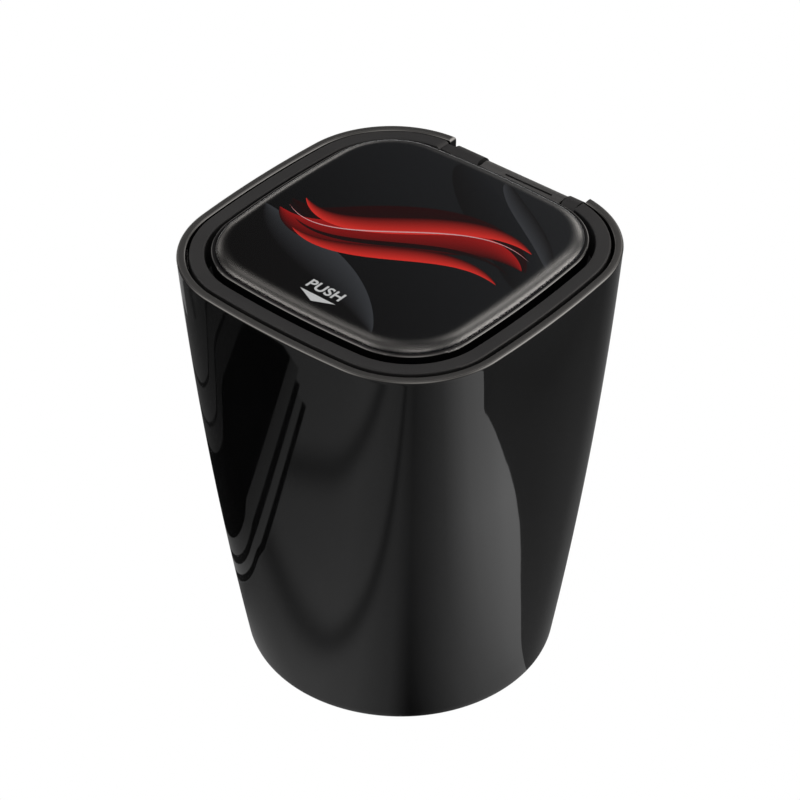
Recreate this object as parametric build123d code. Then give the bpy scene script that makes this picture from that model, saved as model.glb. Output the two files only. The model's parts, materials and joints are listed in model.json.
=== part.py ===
"""Car ashtray: a tapered cup for a cup holder, with a sprung lid that opens at a push.

Millimetres. The origin is the middle of the base on the surface it stands on, +Z is up,
the hinge is at +Y and the lid is pushed at its front edge, at -Y.
"""
import os
from math import cos, hypot, radians, sin, sqrt

from build123d import *

# Cup
mouth_width = 80.0
base_diameter = 69.0
cup_height = 101.7
mouth_corner = 23.3      # corner radius at the rim
side_turn = 4.2          # degrees that each shallow side arc turns to either side of its middle
side_bow = 0.92          # how far the sides stand out of a straight taper, halfway up
cup_wall = 2.2
floor_thickness = 3.0
base_round = 1.0
rim_wall = 2.0
rim_round = 0.5
cup_stations = 5         # sections that the cup is drawn through

# Non-slip pad under the base
pad_margin = 5.5         # cup's base outside the pad
pad_thickness = 1.5
pad_stand = 0.5          # how far the pad lifts the cup

# Collar in the mouth
groove = 0.6             # dark line between rim and collar
collar_band = 3.2        # width of the flat band that shows
collar_proud = 0.2
collar_round = 0.4
lid_well = 7.2           # from rim to the deck that the liner hangs on
deck_thickness = 1.6
seat_width = 1.6         # ledge in the cup under the collar
seat_thickness = 2.0

# Ash liner
liner_margin = 16.0      # from the mouth's edge to the liner's wall, room for the catch
liner_sheet = 0.7
liner_floor_room = 7.5   # under the liner
liner_draft = 1.6        # degrees
liner_corner = 5.0
liner_lip = 1.6
liner_clearance = 0.3

# Lid
lid_gap = 1.3            # open gap between collar and lid
lid_plate = 2.0
plate_inset = 0.9        # plate edge behind the frame's edge
bezel_foot = 2.5         # underside of the frame below the rim
bezel_rise = 0.9         # top of the frame above the rim
bezel_lip = 0.8          # width of the frame's edge round the cover
bezel_round = 0.4
recess_depth = 0.6
print_sheet = 0.25
lens_rise = 2.4          # top of the cover above the rim
lens_edge = 0.4          # upright edge below the cover's rounding
sheet_clearance = 0.15
dish_margin = 2.5        # plate outside the hollow over the liner's mouth
dish_depth = 0.7

# Hinge
hinge_inset = 4.0        # axis in from the mouth's edge
hinge_drop = 2.7         # axis below the rim
knuckle_radius = 2.75
barrel_radius = 2.4
pin_diameter = 1.6
pin_clearance = 0.05
gap_left = 17.25         # ends of the cut-out in rim and collar, from the middle
gap_right = 19.5
gap_round = 1.2          # rounding at the top of the cut-out's left end
hinge_gap_depth = 6.0
left_room = 2.5          # from the cut-out's end to the left knuckle
left_length = 7.35       # left knuckle
left_clearance = 0.8     # from the left knuckle to the barrel
right_room = 0.5
right_length = 3.6
right_clearance = 0.4
slot_margin = 2.8        # barrel to the right of the spring's room
slot_length = 12.5
slit_width = 0.5         # slit along the top of the barrel
slit_inset = 0.85        # slit in front of the hinge axis
step_drop = 0.6          # step between collar and left knuckle, below the rim
block_clearance = 0.15

# Torsion spring
spring_wire = 0.6
coil_radius = 1.4        # to the middle of the wire
coil_turns = 7.75
coil_margin = 1.3        # from the end of the slot to the first and last turn
lid_leg = 3.4
coil_clearance = 0.2
leg_clearance = 0.1

# Catch at the front
tongue_width = 9.0
tongue_thickness = 1.6
tongue_inset = 3.0       # front face of the tongue at the wire, in from the collar
tongue_reach = 16.8      # tip of the tongue below the rim
track_width = 6.0
track_depth = 0.9
track_head = 2.2         # free track above the wire, for the press that lets go
heart_width = 3.2
heart_height = 3.6
heart_notch = 0.5
catch_wire_diameter = 0.8
wire_bend = 0.9
wire_drop = 13.0         # tip of the wire below the rim
wire_set_back = 1.2      # upright of the wire in front of the tongue
tip_clearance = 0.2
box_wall = 0.8
box_floor = 1.0
box_side_room = 0.7      # beside the tongue
box_front_room = 1.1     # in front of the wire
box_back_room = 0.5      # behind the tongue
press_room = 2.1         # under the tongue
ear_length = 5.0
ear_thickness = 2.0

# Screws
screw_diameter = 2.0
screw_head = 3.8
screw_head_height = 1.3
lid_screw_margin = 3.0   # in from the edge of the lid's hollow
lid_screw_length = 4.0

# Worked out from the sizes above
rim_z = pad_stand + cup_height
half_mouth = mouth_width / 2
half_base = base_diameter / 2
floor_top = pad_stand + floor_thickness
pad_radius = half_base - pad_margin
collar_half = half_mouth - rim_wall - groove
well_half = collar_half - collar_band
lid_half = well_half - lid_gap
plate_half = lid_half - plate_inset
dish_radius = plate_half - dish_margin
deck_top = rim_z - lid_well
deck_bottom = deck_top - deck_thickness
liner_radius = half_mouth - liner_margin
liner_base = floor_top + liner_floor_room
plate_top = rim_z - bezel_foot
plate_bottom = plate_top - lid_plate
bezel_top = rim_z + bezel_rise
recess_floor = bezel_top - recess_depth
print_top = recess_floor + print_sheet
lens_top = rim_z + lens_rise
hinge_y = half_mouth - hinge_inset
hinge_z = rim_z - hinge_drop
gap_floor = rim_z - hinge_gap_depth
left_knuckle = (left_room - gap_left, left_room + left_length - gap_left)
right_knuckle = (gap_right - right_room - right_length, gap_right - right_room)
barrel_span = (left_knuckle[1] + left_clearance, right_knuckle[0] - right_clearance)
slot_end = barrel_span[1] - slot_margin
spring_slot = (slot_end - slot_length, slot_end)
leg_top = hinge_z - coil_radius + spring_wire / 2 + pin_clearance
tongue_front = well_half - tongue_inset
tongue_tip = rim_z - tongue_reach
wire_z = rim_z - wire_drop
wire_y = tongue_front + wire_set_back
swing_outer = hypot(hinge_y + tongue_front, hinge_z - wire_z)
swing_inner = swing_outer - tongue_thickness
tongue_back = sqrt(swing_inner ** 2 - (hinge_z - tongue_tip) ** 2) - hinge_y
box_front = wire_y + box_front_room
box_back = tongue_back - box_back_room
box_half = tongue_width / 2 + box_side_room
box_bottom = tongue_tip - press_room
screw_x = box_half + box_wall + ear_length / 2
screw_y = (box_front + box_back) / 2
lid_screw_spread = (dish_radius - lid_screw_margin) / sqrt(2)


def outline(half, corner):
    """Face of a square whose sides are shallow arcs that run into round corners."""
    turn = radians(side_turn)
    span = cos(turn) - sin(turn)
    side_radius = (half - corner * span) / (1 - span)
    centre = (side_radius - corner) * sin(turn)
    edges = []
    for quarter in range(4):
        spin = Rot(0, 0, 90 * quarter)
        side = CenterArc((half - side_radius, 0), side_radius, -side_turn, 2 * side_turn)
        bend = CenterArc((centre, centre), corner, side_turn, 90 - 2 * side_turn)
        edges += [spin * side, spin * bend]
    return make_face(edges)


def prism(half, low, high):
    """Upright block with the mouth's outline, its corners in line with the rim's."""
    face = outline(half, mouth_corner - (half_mouth - half))
    return Pos(0, 0, low) * extrude(face, high - low)


def cup_section(share, inset):
    """Section of the cup at a share of its height, moved in by a wall."""
    taper = half_base + (half_mouth - half_base) * share
    half = taper + side_bow * 4 * share * (1 - share)
    corner = half_base + (mouth_corner - half_base) * share
    level = pad_stand + cup_height * share
    return Pos(0, 0, level) * outline(half - inset, corner - inset)


def cup_form(inset):
    """Solid of the cup's whole height, moved in by a wall."""
    steps = cup_stations - 1
    return loft([cup_section(step / steps, inset) for step in range(cup_stations)])


def span_box(x_span, y_span, z_span):
    """Block between two values on each axis."""
    spans = (x_span, y_span, z_span)
    size = [high - low for low, high in spans]
    middle = [(high + low) / 2 for low, high in spans]
    return Pos(*middle) * Box(*size)


def hinge_rod(radius, x_span):
    """Round bar along the hinge axis."""
    length = x_span[1] - x_span[0]
    middle = (x_span[0] + x_span[1]) / 2
    return Pos(middle, hinge_y, hinge_z) * Rot(0, 90, 0) * Cylinder(radius, length)


def upright_rod(x, y, radius, low, high):
    """Round bar along Z."""
    return Pos(x, y, (low + high) / 2) * Cylinder(radius, high - low)


def hinge_gap():
    """Block that opens the rim and the collar at the back and rounds the opening's left end."""
    reach = (hinge_y - 2 * knuckle_radius, mouth_width)
    sky = rim_z + mouth_width
    round_x = -gap_left - gap_round
    round_z = rim_z + collar_proud - gap_round
    shoulder = span_box((round_x, -gap_left), reach, (round_z, sky))
    shoulder -= Pos(round_x, hinge_y, round_z) * Rot(90, 0, 0) * Cylinder(gap_round, 2 * mouth_width)
    return span_box((-gap_left, gap_right), reach, (gap_floor, sky)) + shoulder


def make_cup_body():
    """Shell with a floor, a pad recess, a stepped mouth and the hinge cut-out."""
    outer = cup_form(0)
    outer = fillet(outer.edges().group_by(Axis.Z)[0], base_round)
    room = cup_form(cup_wall) & span_box(
        (-mouth_width, mouth_width), (-mouth_width, mouth_width), (floor_top, rim_z + cup_height)
    )
    mouth_half = half_mouth - rim_wall
    seat = prism(half_mouth - cup_wall / 2, deck_bottom - seat_thickness, deck_bottom)
    seat -= prism(collar_half - seat_width, deck_bottom - seat_thickness, deck_bottom)
    body = outer - room
    body += seat & outer
    body -= prism(mouth_half, deck_bottom, rim_z + rim_wall)
    body = fillet(body.edges().group_by(Axis.Z)[-1], rim_round)
    body -= upright_rod(0, 0, pad_radius + sheet_clearance, 0, pad_thickness)
    return body - hinge_gap()


def make_base_pad():
    """Disc that fills the recess and stands below the cup."""
    return upright_rod(0, 0, pad_radius, 0, pad_thickness)


def collar_web(x_span, top):
    """Block on the collar's deck at the back, with the collar's outline."""
    return span_box(x_span, (well_half, collar_half), (deck_top, top)) & prism(collar_half, deck_top, top)


def knuckle(x_span):
    """Fixed hinge knuckle on a web that stands on the collar."""
    return hinge_rod(knuckle_radius, x_span) + collar_web(x_span, hinge_z)


def make_collar():
    """Ring with the lid's well, the deck, the hinge knuckles and the catch slot."""
    top = rim_z + collar_proud
    ring = prism(collar_half, deck_bottom, top)
    ring -= prism(well_half, deck_top, top + collar_proud)
    ring = fillet(ring.edges().group_by(Axis.Z)[-1], collar_round)
    ring -= hinge_gap()
    ring -= upright_rod(0, 0, liner_radius + liner_clearance, deck_bottom, deck_top)
    slot_y = (-box_front, -box_back)
    ring -= span_box((-box_half, box_half), slot_y, (deck_bottom, deck_top))
    ring += collar_web((-gap_left, left_knuckle[0]), rim_z - step_drop)
    ring += knuckle(left_knuckle)
    ring += knuckle(right_knuckle)
    ring -= hinge_rod(pin_diameter / 2, (left_knuckle[0], half_mouth))
    for side in (-1, 1):
        hole = upright_rod(side * screw_x, -screw_y, screw_diameter / 2, deck_bottom, deck_top)
        ring -= hole
    return ring


def make_ash_liner():
    """Drawn cup with a flat lip that hangs on the deck."""
    base_radius = liner_radius - (deck_top - liner_base) * sin(radians(liner_draft))
    wall = FilletPolyline(
        (0, liner_base), (base_radius, liner_base), (liner_radius, deck_top), radius=liner_corner
    )
    inner_base = liner_base + liner_sheet
    inner_radius = base_radius - liner_sheet
    inner_top = liner_radius - liner_sheet
    bore = FilletPolyline(
        (0, inner_base), (inner_radius, inner_base), (inner_top, deck_top), radius=liner_corner - liner_sheet
    )
    lip_radius = liner_radius + liner_lip
    lip_top = deck_top + liner_sheet
    lip = Polyline(
        (liner_radius, deck_top), (lip_radius, deck_top), (lip_radius, lip_top), (inner_top, lip_top),
        (inner_top, deck_top),
    )
    foot = Line((0, liner_base), (0, inner_base))
    profile = Plane.XZ * make_face([wall, lip, bore, foot])
    return revolve(profile, Axis.Z)


def make_hinge_pin():
    """Steel pin from end to end of the knuckles."""
    return hinge_rod(pin_diameter / 2, (left_knuckle[0], right_knuckle[1]))


def make_hinge_spring():
    """Torsion spring: one leg lies under the lid, the other stands on the collar."""
    first = spring_slot[0] + coil_margin
    last = spring_slot[1] - coil_margin
    coil = Helix((last - first) / coil_turns, last - first, coil_radius)
    stand = hinge_z - gap_floor - leg_clearance
    lead = Line((coil @ 0) - (coil % 0) * lid_leg, coil @ 0)
    tail = Line(coil @ 1, (coil @ 1) + (coil % 1) * stand)
    path = Wire([lead.edge(), coil.edge(), tail.edge()])
    start = Plane(path @ 0, z_dir=path % 0)
    spring = sweep(start * Circle(spring_wire / 2), path)
    return Plane((first, hinge_y, hinge_z), x_dir=(0, 0, -1), z_dir=(1, 0, 0)) * spring


def swing_slab(outer, inner, half_width, low, high):
    """Curved slab at the front that follows the lid's swing about the hinge."""
    x_span = (-half_width, half_width)
    front = span_box(x_span, (-mouth_width, 0), (low, high))
    return (hinge_rod(outer, x_span) - hinge_rod(inner, x_span)) & front


def make_tongue():
    """Catch tongue, curved about the hinge, with a heart-shaped island in a track on its front."""
    track_floor = swing_outer - track_depth
    track_top = wire_z + track_head
    tongue = swing_slab(swing_outer, swing_inner, tongue_width / 2, tongue_tip, plate_top)
    tongue -= swing_slab(swing_outer + track_depth, track_floor, track_width / 2, tongue_tip, track_top)
    half_heart = heart_width / 2
    lobe_z = wire_z + heart_notch
    notch_z = wire_z - catch_wire_diameter / 2 - tip_clearance
    heart = Polyline(
        (0, notch_z), (half_heart, lobe_z), (half_heart, notch_z), (0, lobe_z - heart_height),
        (-half_heart, notch_z), (-half_heart, lobe_z), close=True,
    )
    island = extrude(Plane.XZ * make_face(heart), mouth_width)
    return tongue + (island & swing_slab(swing_outer, swing_inner, half_heart, tongue_tip, track_top))


def spring_room():
    """Hollow in the barrel for the coil, open below, with a slit along the top."""
    coil_room = coil_radius + spring_wire / 2 + coil_clearance
    room = hinge_rod(coil_room, spring_slot)
    room += span_box(spring_slot, (hinge_y, 2 * hinge_y), (gap_floor, hinge_z))
    front = hinge_y - barrel_radius - sheet_clearance
    room += span_box(spring_slot, (front, hinge_y), (gap_floor, leg_top))
    slit = hinge_y - slit_inset
    slit_y = (slit - slit_width / 2, slit + slit_width / 2)
    return room + span_box(spring_slot, slit_y, (hinge_z, hinge_z + 2 * barrel_radius))


def make_lid_base():
    """Lower plate of the lid, with the hinge barrel and the catch tongue."""
    plate = prism(plate_half, plate_bottom, plate_top)
    plate -= upright_rod(0, 0, dish_radius, plate_bottom, plate_bottom + dish_depth)
    flange = span_box(barrel_span, (lid_half - collar_band, hinge_y), (leg_top, plate_top))
    block_y = (lid_half + block_clearance, hinge_y)
    flange += span_box(barrel_span, block_y, (leg_top, hinge_z + barrel_radius - block_clearance))
    barrel = hinge_rod(barrel_radius, barrel_span)
    lid = plate + (flange + barrel - spring_room()) + make_tongue()
    lid -= hinge_rod(pin_diameter / 2 + pin_clearance, barrel_span)
    for place in lid_screw_places():
        lid -= Pos(*place) * screw_form(screw_diameter / 2, lid_screw_length)
    return lid


def lid_screw_places():
    """Heads of the four screws, flush with the underside of the plate."""
    sides = (-lid_screw_spread, lid_screw_spread)
    return [(x, y, plate_bottom + dish_depth) for x in sides for y in sides]


def screw_form(radius, length):
    """Countersunk screw that points up, with its head's flat face at the origin."""
    head = Pos(0, 0, screw_head_height / 2) * Cone(screw_head / 2, radius, screw_head_height)
    shank = Pos(0, 0, length / 2) * Cylinder(radius, length)
    return head + shank


def make_lid_bezel():
    """Frame of the lid, with a shallow recess for the print and the cover."""
    frame = prism(lid_half, plate_top, bezel_top)
    frame = fillet(frame.edges().group_by(Axis.Z)[-1], bezel_round)
    frame -= prism(lid_half - bezel_lip, recess_floor, bezel_top + bezel_lip)
    for place in lid_screw_places():
        frame -= Pos(*place) * screw_form(screw_diameter / 2, lid_screw_length)
    return frame


def make_lid_print():
    """Printed sheet on the floor of the recess."""
    return prism(lid_half - bezel_lip - sheet_clearance, recess_floor, print_top)


def make_lid_lens():
    """Clear cover whose top is rounded over to its edge."""
    cover = prism(lid_half - bezel_lip - sheet_clearance, print_top, lens_top)
    return fillet(cover.edges().group_by(Axis.Z)[-1], lens_top - print_top - lens_edge)


def make_lid_screws():
    """Four countersunk screws through the plate into the frame."""
    return [Pos(*place) * screw_form(screw_diameter / 2, lid_screw_length) for place in lid_screw_places()]


def make_catch_box():
    """Open-topped pocket with two screw ears, under the collar's front."""
    outer_half = box_half + box_wall
    outer_y = (-box_front - box_wall, -box_back + box_wall)
    box = span_box((-outer_half, outer_half), outer_y, (box_bottom - box_floor, deck_bottom))
    ear_half = outer_half + ear_length
    box += span_box((-ear_half, ear_half), outer_y, (deck_bottom - ear_thickness, deck_bottom))
    box -= span_box((-box_half, box_half), (-box_front, -box_back), (box_bottom, deck_bottom))
    wire_hole = upright_rod(0, -wire_y, catch_wire_diameter / 2, box_bottom - box_floor, box_bottom)
    box -= wire_hole
    for side in (-1, 1):
        box -= upright_rod(
            side * screw_x, -screw_y, screw_diameter / 2, deck_bottom - ear_thickness, deck_bottom
        )
    return box


def make_catch_wire():
    """Sprung wire: an upright in the pocket's floor, bent over into the track."""
    tip_y = tongue_front - track_depth + tip_clearance
    path = FilletPolyline(
        (0, -wire_y, box_bottom - box_floor), (0, -wire_y, wire_z), (0, -tip_y, wire_z), radius=wire_bend
    )
    start = Plane(path @ 0, z_dir=path % 0)
    return sweep(start * Circle(catch_wire_diameter / 2), path)


def make_catch_screws():
    """Two pan-head screws through the ears into the deck."""
    ear_bottom = deck_bottom - ear_thickness
    screws = []
    for side in (-1, 1):
        head = upright_rod(side * screw_x, -screw_y, screw_head / 2, ear_bottom - screw_head_height, ear_bottom)
        shank = upright_rod(side * screw_x, -screw_y, screw_diameter / 2, ear_bottom, deck_top)
        screws.append(head + shank)
    return screws


parts = {
    "cup_body": make_cup_body(),
    "base_pad": make_base_pad(),
    "collar": make_collar(),
    "ash_liner": make_ash_liner(),
    "hinge_pin": make_hinge_pin(),
    "hinge_spring": make_hinge_spring(),
    "catch_box": make_catch_box(),
    "catch_wire": make_catch_wire(),
    "catch_screws": Compound(children=make_catch_screws()),
    "lid_base": make_lid_base(),
    "lid_bezel": make_lid_bezel(),
    "lid_print": make_lid_print(),
    "lid_lens": make_lid_lens(),
    "lid_screws": Compound(children=make_lid_screws()),
}

os.makedirs("parts", exist_ok=True)
for name, solid in parts.items():
    export_step(solid, f"parts/{name}.step")
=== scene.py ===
"""Looks of a car ashtray: a gloss cup, a satin collar and a sprung lid with a print under a clear cover.

Metres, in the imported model's frame: +Z is up, the hinge is at +Y and the lid is pushed at -Y.
"""

import json
import logging
import math
from dataclasses import dataclass
from enum import Enum

import bmesh
import bpy
import numpy as np
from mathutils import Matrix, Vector

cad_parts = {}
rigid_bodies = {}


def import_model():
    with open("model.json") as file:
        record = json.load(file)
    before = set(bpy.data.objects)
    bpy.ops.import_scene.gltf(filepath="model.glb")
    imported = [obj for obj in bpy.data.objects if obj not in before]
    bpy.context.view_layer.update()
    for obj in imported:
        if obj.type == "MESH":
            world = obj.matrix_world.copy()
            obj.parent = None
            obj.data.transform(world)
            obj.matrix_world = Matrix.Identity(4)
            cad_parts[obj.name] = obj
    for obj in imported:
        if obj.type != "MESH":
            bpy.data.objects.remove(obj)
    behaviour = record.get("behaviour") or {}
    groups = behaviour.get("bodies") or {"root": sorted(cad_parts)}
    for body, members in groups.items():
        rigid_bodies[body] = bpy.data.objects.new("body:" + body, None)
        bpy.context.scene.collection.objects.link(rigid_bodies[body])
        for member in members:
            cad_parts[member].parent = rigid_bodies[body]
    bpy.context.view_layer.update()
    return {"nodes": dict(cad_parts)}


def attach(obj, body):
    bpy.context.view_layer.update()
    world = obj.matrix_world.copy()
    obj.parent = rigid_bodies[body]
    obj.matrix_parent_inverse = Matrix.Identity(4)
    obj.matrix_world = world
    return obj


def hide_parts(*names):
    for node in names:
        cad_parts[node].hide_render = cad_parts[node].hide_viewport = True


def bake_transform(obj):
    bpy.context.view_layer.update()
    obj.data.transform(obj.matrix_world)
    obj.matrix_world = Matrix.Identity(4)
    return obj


MM = 0.001
TURN = 2 * math.pi
log = logging.getLogger("ashtray")

Pair = tuple[float, float]
Triple = tuple[float, float, float]
Colour = Triple
Window = tuple[Triple, float, float]
Finishes = dict[str, bpy.types.Material]
Outputs = bpy.types.NodeOutputs

FLOAT = "NodeSocketFloat"
TINT = "tint"
TINY = 1e-9

WHITE: Colour = (1.0, 1.0, 1.0)
WARM: Colour = (1.0, 0.95, 0.9)


class Stretch(Enum):
    """Direction in which a metal's drawing lines run."""

    ROUND_Z = (40.0, 40.0, 2600.0)
    ALONG_X = (60.0, 2200.0, 2200.0)
    EVEN = (900.0, 900.0, 900.0)


# Shared arithmetic of the surfaces


def lift(flat: np.ndarray, level: np.ndarray | float) -> np.ndarray:
    """Adds heights to a grid of (x, y) pairs: one for all, or one for each row."""
    return np.concatenate([flat, np.broadcast_to(level, flat.shape[:2] + (1,))], axis=2)


def unit(ways: np.ndarray) -> np.ndarray:
    """Scales directions to length one."""
    return ways / np.linalg.norm(ways, axis=-1, keepdims=True)


@dataclass(frozen=True)
class Outline:
    """Square whose sides are shallow arcs that run into round corners."""

    side_turn: float = math.radians(4.2)

    def arcs(self, half: np.ndarray, corner: np.ndarray) -> tuple[np.ndarray, np.ndarray]:
        """Radius of the side arcs, and distance of the corner arcs' centres from either axis.

        The side's radius is the half-width less the corner radius times the span, over one less the span,
        where the span is the cosine less the sine of the side's turn. The centre's distance is the
        difference of the radii times that sine.

        Args:
            half: Half of the width between opposite sides.
            corner: Radius of the corners.

        Returns:
            The radii and the distances.
        """
        span = math.cos(self.side_turn) - math.sin(self.side_turn)
        side = (half - corner * span) / (1 - span)
        return side, (side - corner) * math.sin(self.side_turn)

    def points(self, half: np.ndarray, corner: np.ndarray, angle: np.ndarray) -> np.ndarray:
        """Points where the outline's normal has the given angle.

        Within the side's turn of an axis the point is the side arc's centre plus its radius times the
        normal; elsewhere it is the corner arc's centre plus the corner radius times the normal.

        Args:
            half: Half of the width between opposite sides.
            corner: Radius of the corners.
            angle: Angle of the normal from +X.

        Returns:
            Array of (x, y) pairs, shaped like the broadcast of the three inputs.
        """
        half, corner, angle = np.broadcast_arrays(half, corner, angle)
        side, centre = self.arcs(half, corner)
        quarter = np.round(angle / (math.pi / 2)) * (math.pi / 2)
        lean = angle - quarter
        on_side = np.abs(lean) <= self.side_turn
        radius = np.where(on_side, side, corner)
        out = np.where(on_side, half - side, centre) + radius * np.cos(lean)
        across = np.where(on_side, 0.0, np.sign(lean) * centre) + radius * np.sin(lean)
        x = out * np.cos(quarter) - across * np.sin(quarter)
        y = out * np.sin(quarter) + across * np.cos(quarter)
        return np.stack([x, y], axis=-1)

    def cut_angle(self, half: np.ndarray, corner: np.ndarray, x: np.ndarray) -> np.ndarray:
        """Angle of the normal, from a side's middle, where the outline crosses a plane.

        On the side arc its sine is x over the side's radius; past the arc's end it is x less the corner
        centre's place, over the corner's radius.

        Args:
            half: Half of the width between opposite sides.
            corner: Radius of the corners.
            x: Distance of the plane from the side's middle.

        Returns:
            The angles.
        """
        side, centre = self.arcs(half, corner)
        sine = np.where(x <= side * math.sin(self.side_turn), x / side, (x - centre) / corner)
        return np.arcsin(sine)

    def columns(self, first: float, per_side: int, per_corner: int) -> np.ndarray:
        """Angles from one middle round to the next, denser where the corners bend.

        Args:
            first: Angle at which the columns start and, short of a full turn, end.
            per_side: Columns on each side arc.
            per_corner: Columns on each corner arc.

        Returns:
            Rising angles from `first` to a full turn less `first`.
        """
        sides = np.arange(1, 4) * math.pi / 2
        bounds = np.stack([sides - self.side_turn, sides + self.side_turn], axis=1).ravel()
        knots = np.concatenate([[first], bounds, [TURN - first]])
        counts = [per_corner, per_side] * 3 + [per_corner]
        runs = [np.linspace(a, b, n, endpoint=False) for a, b, n in zip(knots[:-1], knots[1:], counts)]
        return np.append(np.concatenate(runs), TURN - first)


OUTLINE = Outline()


class Shell:
    """Gathers the grids and polygons of one piece and makes its mesh."""

    def __init__(self, name: str) -> None:
        """Starts an empty piece with the name its object will have."""
        self.name = name
        self.points: list[np.ndarray] = []
        self.faces: list[list[int]] = []
        self.count = 0

    def put(self, points: np.ndarray) -> np.ndarray:
        """Adds points and gives their numbers, shaped as the points are.

        Args:
            points: Array whose last axis is x, y, z in metres.

        Returns:
            Numbers of the new points.
        """
        flat = points.reshape(-1, 3)
        numbers = self.count + np.arange(len(flat))
        self.points.append(flat)
        self.count += len(flat)
        return numbers.reshape(points.shape[:-1])

    def quads(self, numbers: np.ndarray, wrap: bool = False) -> None:
        """Joins a grid of point numbers into quads that face right of rows crossed with columns.

        Args:
            numbers: Grid of point numbers, rows by columns.
            wrap: Whether the last column joins the first.
        """
        if wrap:
            numbers = np.concatenate([numbers, numbers[:, :1]], axis=1)
        corners = [numbers[:-1, :-1], numbers[:-1, 1:], numbers[1:, 1:], numbers[1:, :-1]]
        self.faces += np.stack(corners, axis=-1).reshape(-1, 4).tolist()

    def grid(self, points: np.ndarray, wrap: bool = False) -> None:
        """Adds a grid of points with its quads."""
        self.quads(self.put(points), wrap)

    def build(self, sharp: float, merge: bool = True) -> bpy.types.Object:
        """Makes the object, with doubles merged, normals outwards and hard edges kept.

        Args:
            sharp: Angle in degrees above which an edge stays hard.
            merge: Whether coincident points are merged and normals worked out again.

        Returns:
            The new object, linked to the scene.
        """
        mesh = bpy.data.meshes.new(self.name)
        mesh.from_pydata(np.concatenate(self.points), [], self.faces)
        if merge:
            work = bmesh.new()
            work.from_mesh(mesh)
            bmesh.ops.remove_doubles(work, verts=work.verts, dist=1e-7)
            bmesh.ops.dissolve_degenerate(work, edges=work.edges, dist=1e-8)
            bmesh.ops.recalc_face_normals(work, faces=work.faces)
            work.to_mesh(mesh)
            work.free()
        mesh.shade_smooth()
        mesh.set_sharp_from_angle(angle=math.radians(sharp))
        piece = bpy.data.objects.new(self.name, mesh)
        bpy.context.collection.objects.link(piece)
        return piece


def dress(piece: bpy.types.Object, material: bpy.types.Material) -> None:
    """Gives a piece one material in place of what it had."""
    piece.data.materials.clear()
    piece.data.materials.append(material)


# Node work


class Graph:
    """Short calls that add and join the nodes of one tree."""

    def __init__(self, tree: bpy.types.NodeTree) -> None:
        """Takes the tree that the nodes go into."""
        self.tree = tree

    def fill(self, node: bpy.types.Node, values: dict[str | int, object]) -> None:
        """Sets inputs of a node: another node's output is joined, any other value is stored.

        Args:
            node: The node whose inputs are set.
            values: What goes into each input, by the input's name or number.
        """
        for key, value in values.items():
            if isinstance(value, bpy.types.NodeSocket):
                self.tree.links.new(value, node.inputs[key])
            else:
                node.inputs[key].default_value = value

    def add(self, kind: str, values: dict[str | int, object] | None = None, **settings: object) -> Outputs:
        """Adds a node.

        Args:
            kind: Blender's name for the node's type, without the leading ShaderNode.
            values: What goes into its inputs, by name or number.
            settings: Properties of the node itself.

        Returns:
            The new node's outputs.
        """
        node = self.tree.nodes.new("ShaderNode" + kind)
        for key, value in settings.items():
            setattr(node, key, value)
        self.fill(node, values or {})
        return node.outputs

    def place(self) -> bpy.types.NodeSocket:
        """Adds the place on the object that is shaded."""
        return self.add("TexCoord")["Object"]

    def mix(self, share: bpy.types.NodeSocket, one: object, other: object) -> bpy.types.NodeSocket:
        """Adds a blend of two colours by a share, where each is a value or an output."""
        return self.add("Mix", {0: share, 6: one, 7: other}, data_type="RGBA")[2]

    def spread(self, noise: bpy.types.NodeSocket, low: object, high: object) -> bpy.types.NodeSocket:
        """Adds a ramp that takes the middle of a noise's range to all of another range."""
        return self.add("MapRange", {0: noise, 1: 0.3, 2: 0.7, 3: low, 4: high})[0]

    def surface(self, shader: bpy.types.NodeSocket) -> None:
        """Makes a shader the material's surface."""
        self.fill(self.tree.nodes["Material Output"], {"Surface": shader})


def new_group(
    name: str, inputs: dict[str, str], outputs: dict[str, str],
) -> tuple[Graph, Outputs, bpy.types.Node]:
    """Starts a shader node group with named sockets.

    Args:
        name: Name of the group.
        inputs: Socket type of each input by name.
        outputs: Socket type of each output by name.

    Returns:
        The group's graph, what is given to it and the node that takes what it makes.
    """
    tree = bpy.data.node_groups.new(name, "ShaderNodeTree")
    for way, sockets in (("INPUT", inputs), ("OUTPUT", outputs)):
        for label, kind in sockets.items():
            tree.interface.new_socket(label, in_out=way, socket_type=kind)
    given, made = (tree.nodes.new(kind) for kind in ("NodeGroupInput", "NodeGroupOutput"))
    return Graph(tree), given.outputs, made


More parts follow.
